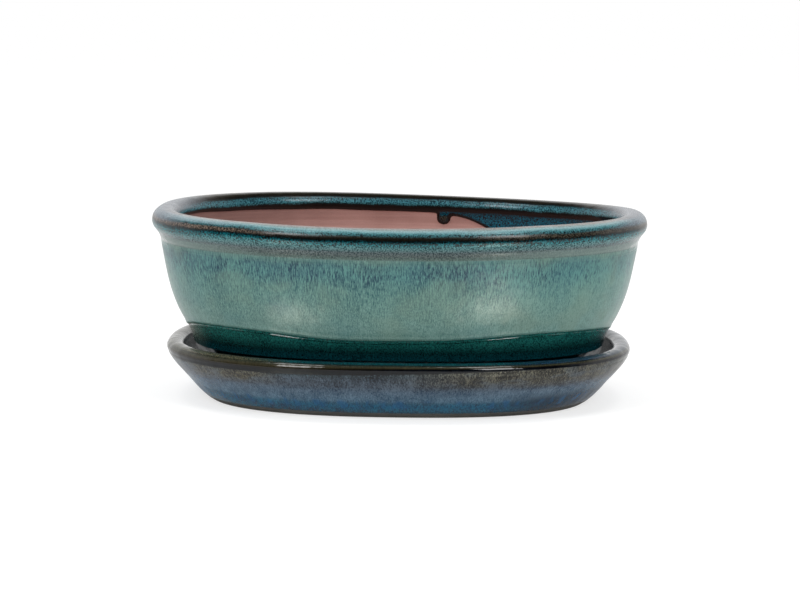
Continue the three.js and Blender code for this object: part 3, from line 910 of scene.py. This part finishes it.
saucer_glaze = bpy.data.materials.new("slate_saucer_glaze")
saucer_glaze.use_nodes = True
tree = saucer_glaze.node_tree
tree.nodes.clear()
place_out = node(tree, "ShaderNodeAttribute", attribute_name="glaze_place").outputs["Vector"]
run_out = node(tree, "ShaderNodeSeparateXYZ", {0: place_out}).outputs[2]
hair = streak_mask(tree, place_out, 0.6, 1.8)
speck = streak_mask(tree, place_out, 0.6, 0.6)
cloud = streak_mask(tree, place_out, 16.0, 6.0)
broad = streak_mask(tree, place_out, 5.0, 14.0)
slate_mask = blend(tree, (hair, 0.36), (speck, 0.3), (broad, 0.16), (cloud, 0.18))
slate_rows = [
    (flank(2.6), (34, 88, 104), (1, 32, 48), 5), (flank(4), (24, 108, 138), (1, 38, 66), 6),
    (flank(7), (26, 108, 140), (1, 40, 70), 6), (flank(8.4), (56, 108, 132), (2, 42, 68), 5.4),
    (flank(9.8), (98, 128, 148), (36, 70, 94), 5.4),
    (flank(14.5), (94, 116, 134), (32, 58, 80), 5.4),
    (flank(17.5), (80, 94, 108), (12, 26, 40), 5.6), (flank(22), (76, 90, 102), (4, 16, 26), 5.8),
    (flank(23.7), (66, 82, 90), (2, 6, 10), 5.8), (flank(24.4), (12, 18, 24), (1, 1, 2), 5),
    (flank(26.6), (6, 10, 18), (1, 1, 1), 5), (flank(27.3), (32, 28, 16), (10, 8, 4), 4),
    (flank(27.9), (60, 56, 42), (32, 30, 20), 4), (flank(28.4), (58, 60, 48), (28, 31, 25), 4),
    (flank(28.9), (10, 20, 18), (1, 4, 3), 4), (flank(29.3), (12, 70, 74), (1, 32, 38), 5),
    (bowl(29), (10, 84, 90), (1, 44, 52), 5), (bowl(24), (20, 78, 92), (2, 32, 44), 5),
    (bowl(15), (18, 50, 62), (2, 16, 26), 5), (bowl(13.2) + 12, (26, 60, 74), (4, 22, 34), 5)]
object_place = node(tree, "ShaderNodeTexCoord").outputs["Object"]
place_mm = node(tree, "ShaderNodeVectorMath", {0: object_place, 1: (1000, 1000, 1000)},
                operation="MULTIPLY").outputs[0]
sideways = node(tree, "ShaderNodeSeparateXYZ", {0: place_mm}).outputs[0]
# The dark break under the lip narrows from left to right
rise = product(tree, between(tree, sideways, -70.0, 80.0, 1.0, -2.3),
               between(tree, run_out, flank(20.5), flank(24.5)),
               between(tree, run_out, flank(26.4), flank(28.4), 1.0, 0.0))
bled = total(tree, run_out, rise, off_middle(tree, speck, 1.0))
glazed = fired_stack(tree, bled, slate_mask, slate_rows)
# The flank's upper half turns brown at the right and olive near the left end, the flank is painted
# darker along the lower right, and the low band pools to a clear blue in places
upper = product(tree, between(tree, bled, flank(15), flank(20.5)),
                between(tree, bled, flank(23.8), flank(24.6), 1.0, 0.0))
warm = total(tree, between(tree, sideways, -15.0, 45.0, 0.0, 0.7),
             product(tree, between(tree, sideways, -112.0, -90.0),
                     between(tree, sideways, -74.0, -50.0, 0.8, 0.0)))
warm = math_node(tree, "MULTIPLY", product(tree, warm, upper),
                 between(tree, cloud, 0.34, 0.6, 0.5, 1.3), True)
glazed = mixed(tree, warm, glazed,
               broken(tree, slate_mask, 0.43, 0.56, (96, 92, 76), (24, 22, 15)))
lower_right_dark = product(tree, between(tree, sideways, 42.0, 76.0, 0.0, 0.8),
               between(tree, bled, flank(9), flank(14), 1.0, 0.0))
glazed = mixed(tree, lower_right_dark, glazed, srgb(14, 38, 58))
off_pool = math_node(tree, "ABSOLUTE", math_node(tree, "SUBTRACT", bled, flank(7.5)))
pooled = product(tree, between(tree, broad, 0.5, 0.66, 0.0, 0.4),
                 between(tree, off_pool, 1.5, 4.5, 1.0, 0.0))
glazed = mixed(tree, pooled, glazed, srgb(20, 104, 158))
# The lip's crest stays olive to the left, and turns navy to the right
on_crest = product(tree, between(tree, bled, flank(28.5), flank(29)),
                   between(tree, run_out, bowl(28.6), bowl(27), 1.0, 0.0))
to_left = product(tree, on_crest, between(tree, sideways, -80.0, -45.0, 0.9, 0.0))
to_right = product(tree, on_crest, between(tree, sideways, 45.0, 75.0, 0.0, 0.8))
glazed = mixed(tree, to_left, glazed,
               broken(tree, speck, 0.36, 0.6, (88, 84, 62), (40, 37, 24)))
glazed = mixed(tree, to_right, glazed,
               broken(tree, speck, 0.36, 0.6, (22, 50, 78), (4, 14, 26)))
ring_clay = node(tree, "ShaderNodeGroup", {
    "Place": place_out, "Pale": srgb(112, 109, 104), "Dark": srgb(72, 71, 70)}, node_tree=clay)
edge = total(tree, run_out, off_middle(tree, speck, 1.0))
bare = product(tree, between(tree, edge, flank(2.7) - 0.3, flank(2.7) + 0.2, 1.0, 0.0),
               between(tree, edge, ring_start - 1.5, ring_start - 0.7))
colour = mixed(tree, bare, glazed, ring_clay.outputs["Colour"])
gloss = roughness_along(tree, run_out, [
    (0, 0.3), (flank(3), 0.2), (flank(20), 0.24), (flank(25), 0.12), (flank(27), 0.07),
    (bowl(29), 0.07), (bowl(27), 0.16), (bowl(13.1), 0.12)])
rough = mixed(tree, bare, gloss, (0.85, 0.85, 0.85, 1))
poured = node(tree, "ShaderNodeGroup", {"Place": place_out, "Ripple": 0.4, "Dimples": 0.035},
              node_tree=skin)
# On the floor the glaze pooled and levelled out
settled = product(tree, poured.outputs[0],
                  between(tree, run_out, bowl(17), bowl(13.1), 1.0, 0.35))
height = node(tree, "ShaderNodeMix", {
    0: bare, 2: settled, 3: ring_clay.outputs["Height"]}, data_type="FLOAT")
bump = node(tree, "ShaderNodeBump", {"Strength": 1.0, "Distance": MM, "Height": height.outputs[0]})
finish = node(tree, "ShaderNodeBsdfPrincipled", {
    "Base Color": colour, "Roughness": rough, "IOR": 1.4, "Normal": bump.outputs[0]})
node(tree, "ShaderNodeOutputMaterial", {0: finish.outputs[0]})
saucer.data.materials.clear()
saucer.data.materials.append(saucer_glaze)
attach(saucer, "saucer")
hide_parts("saucer")
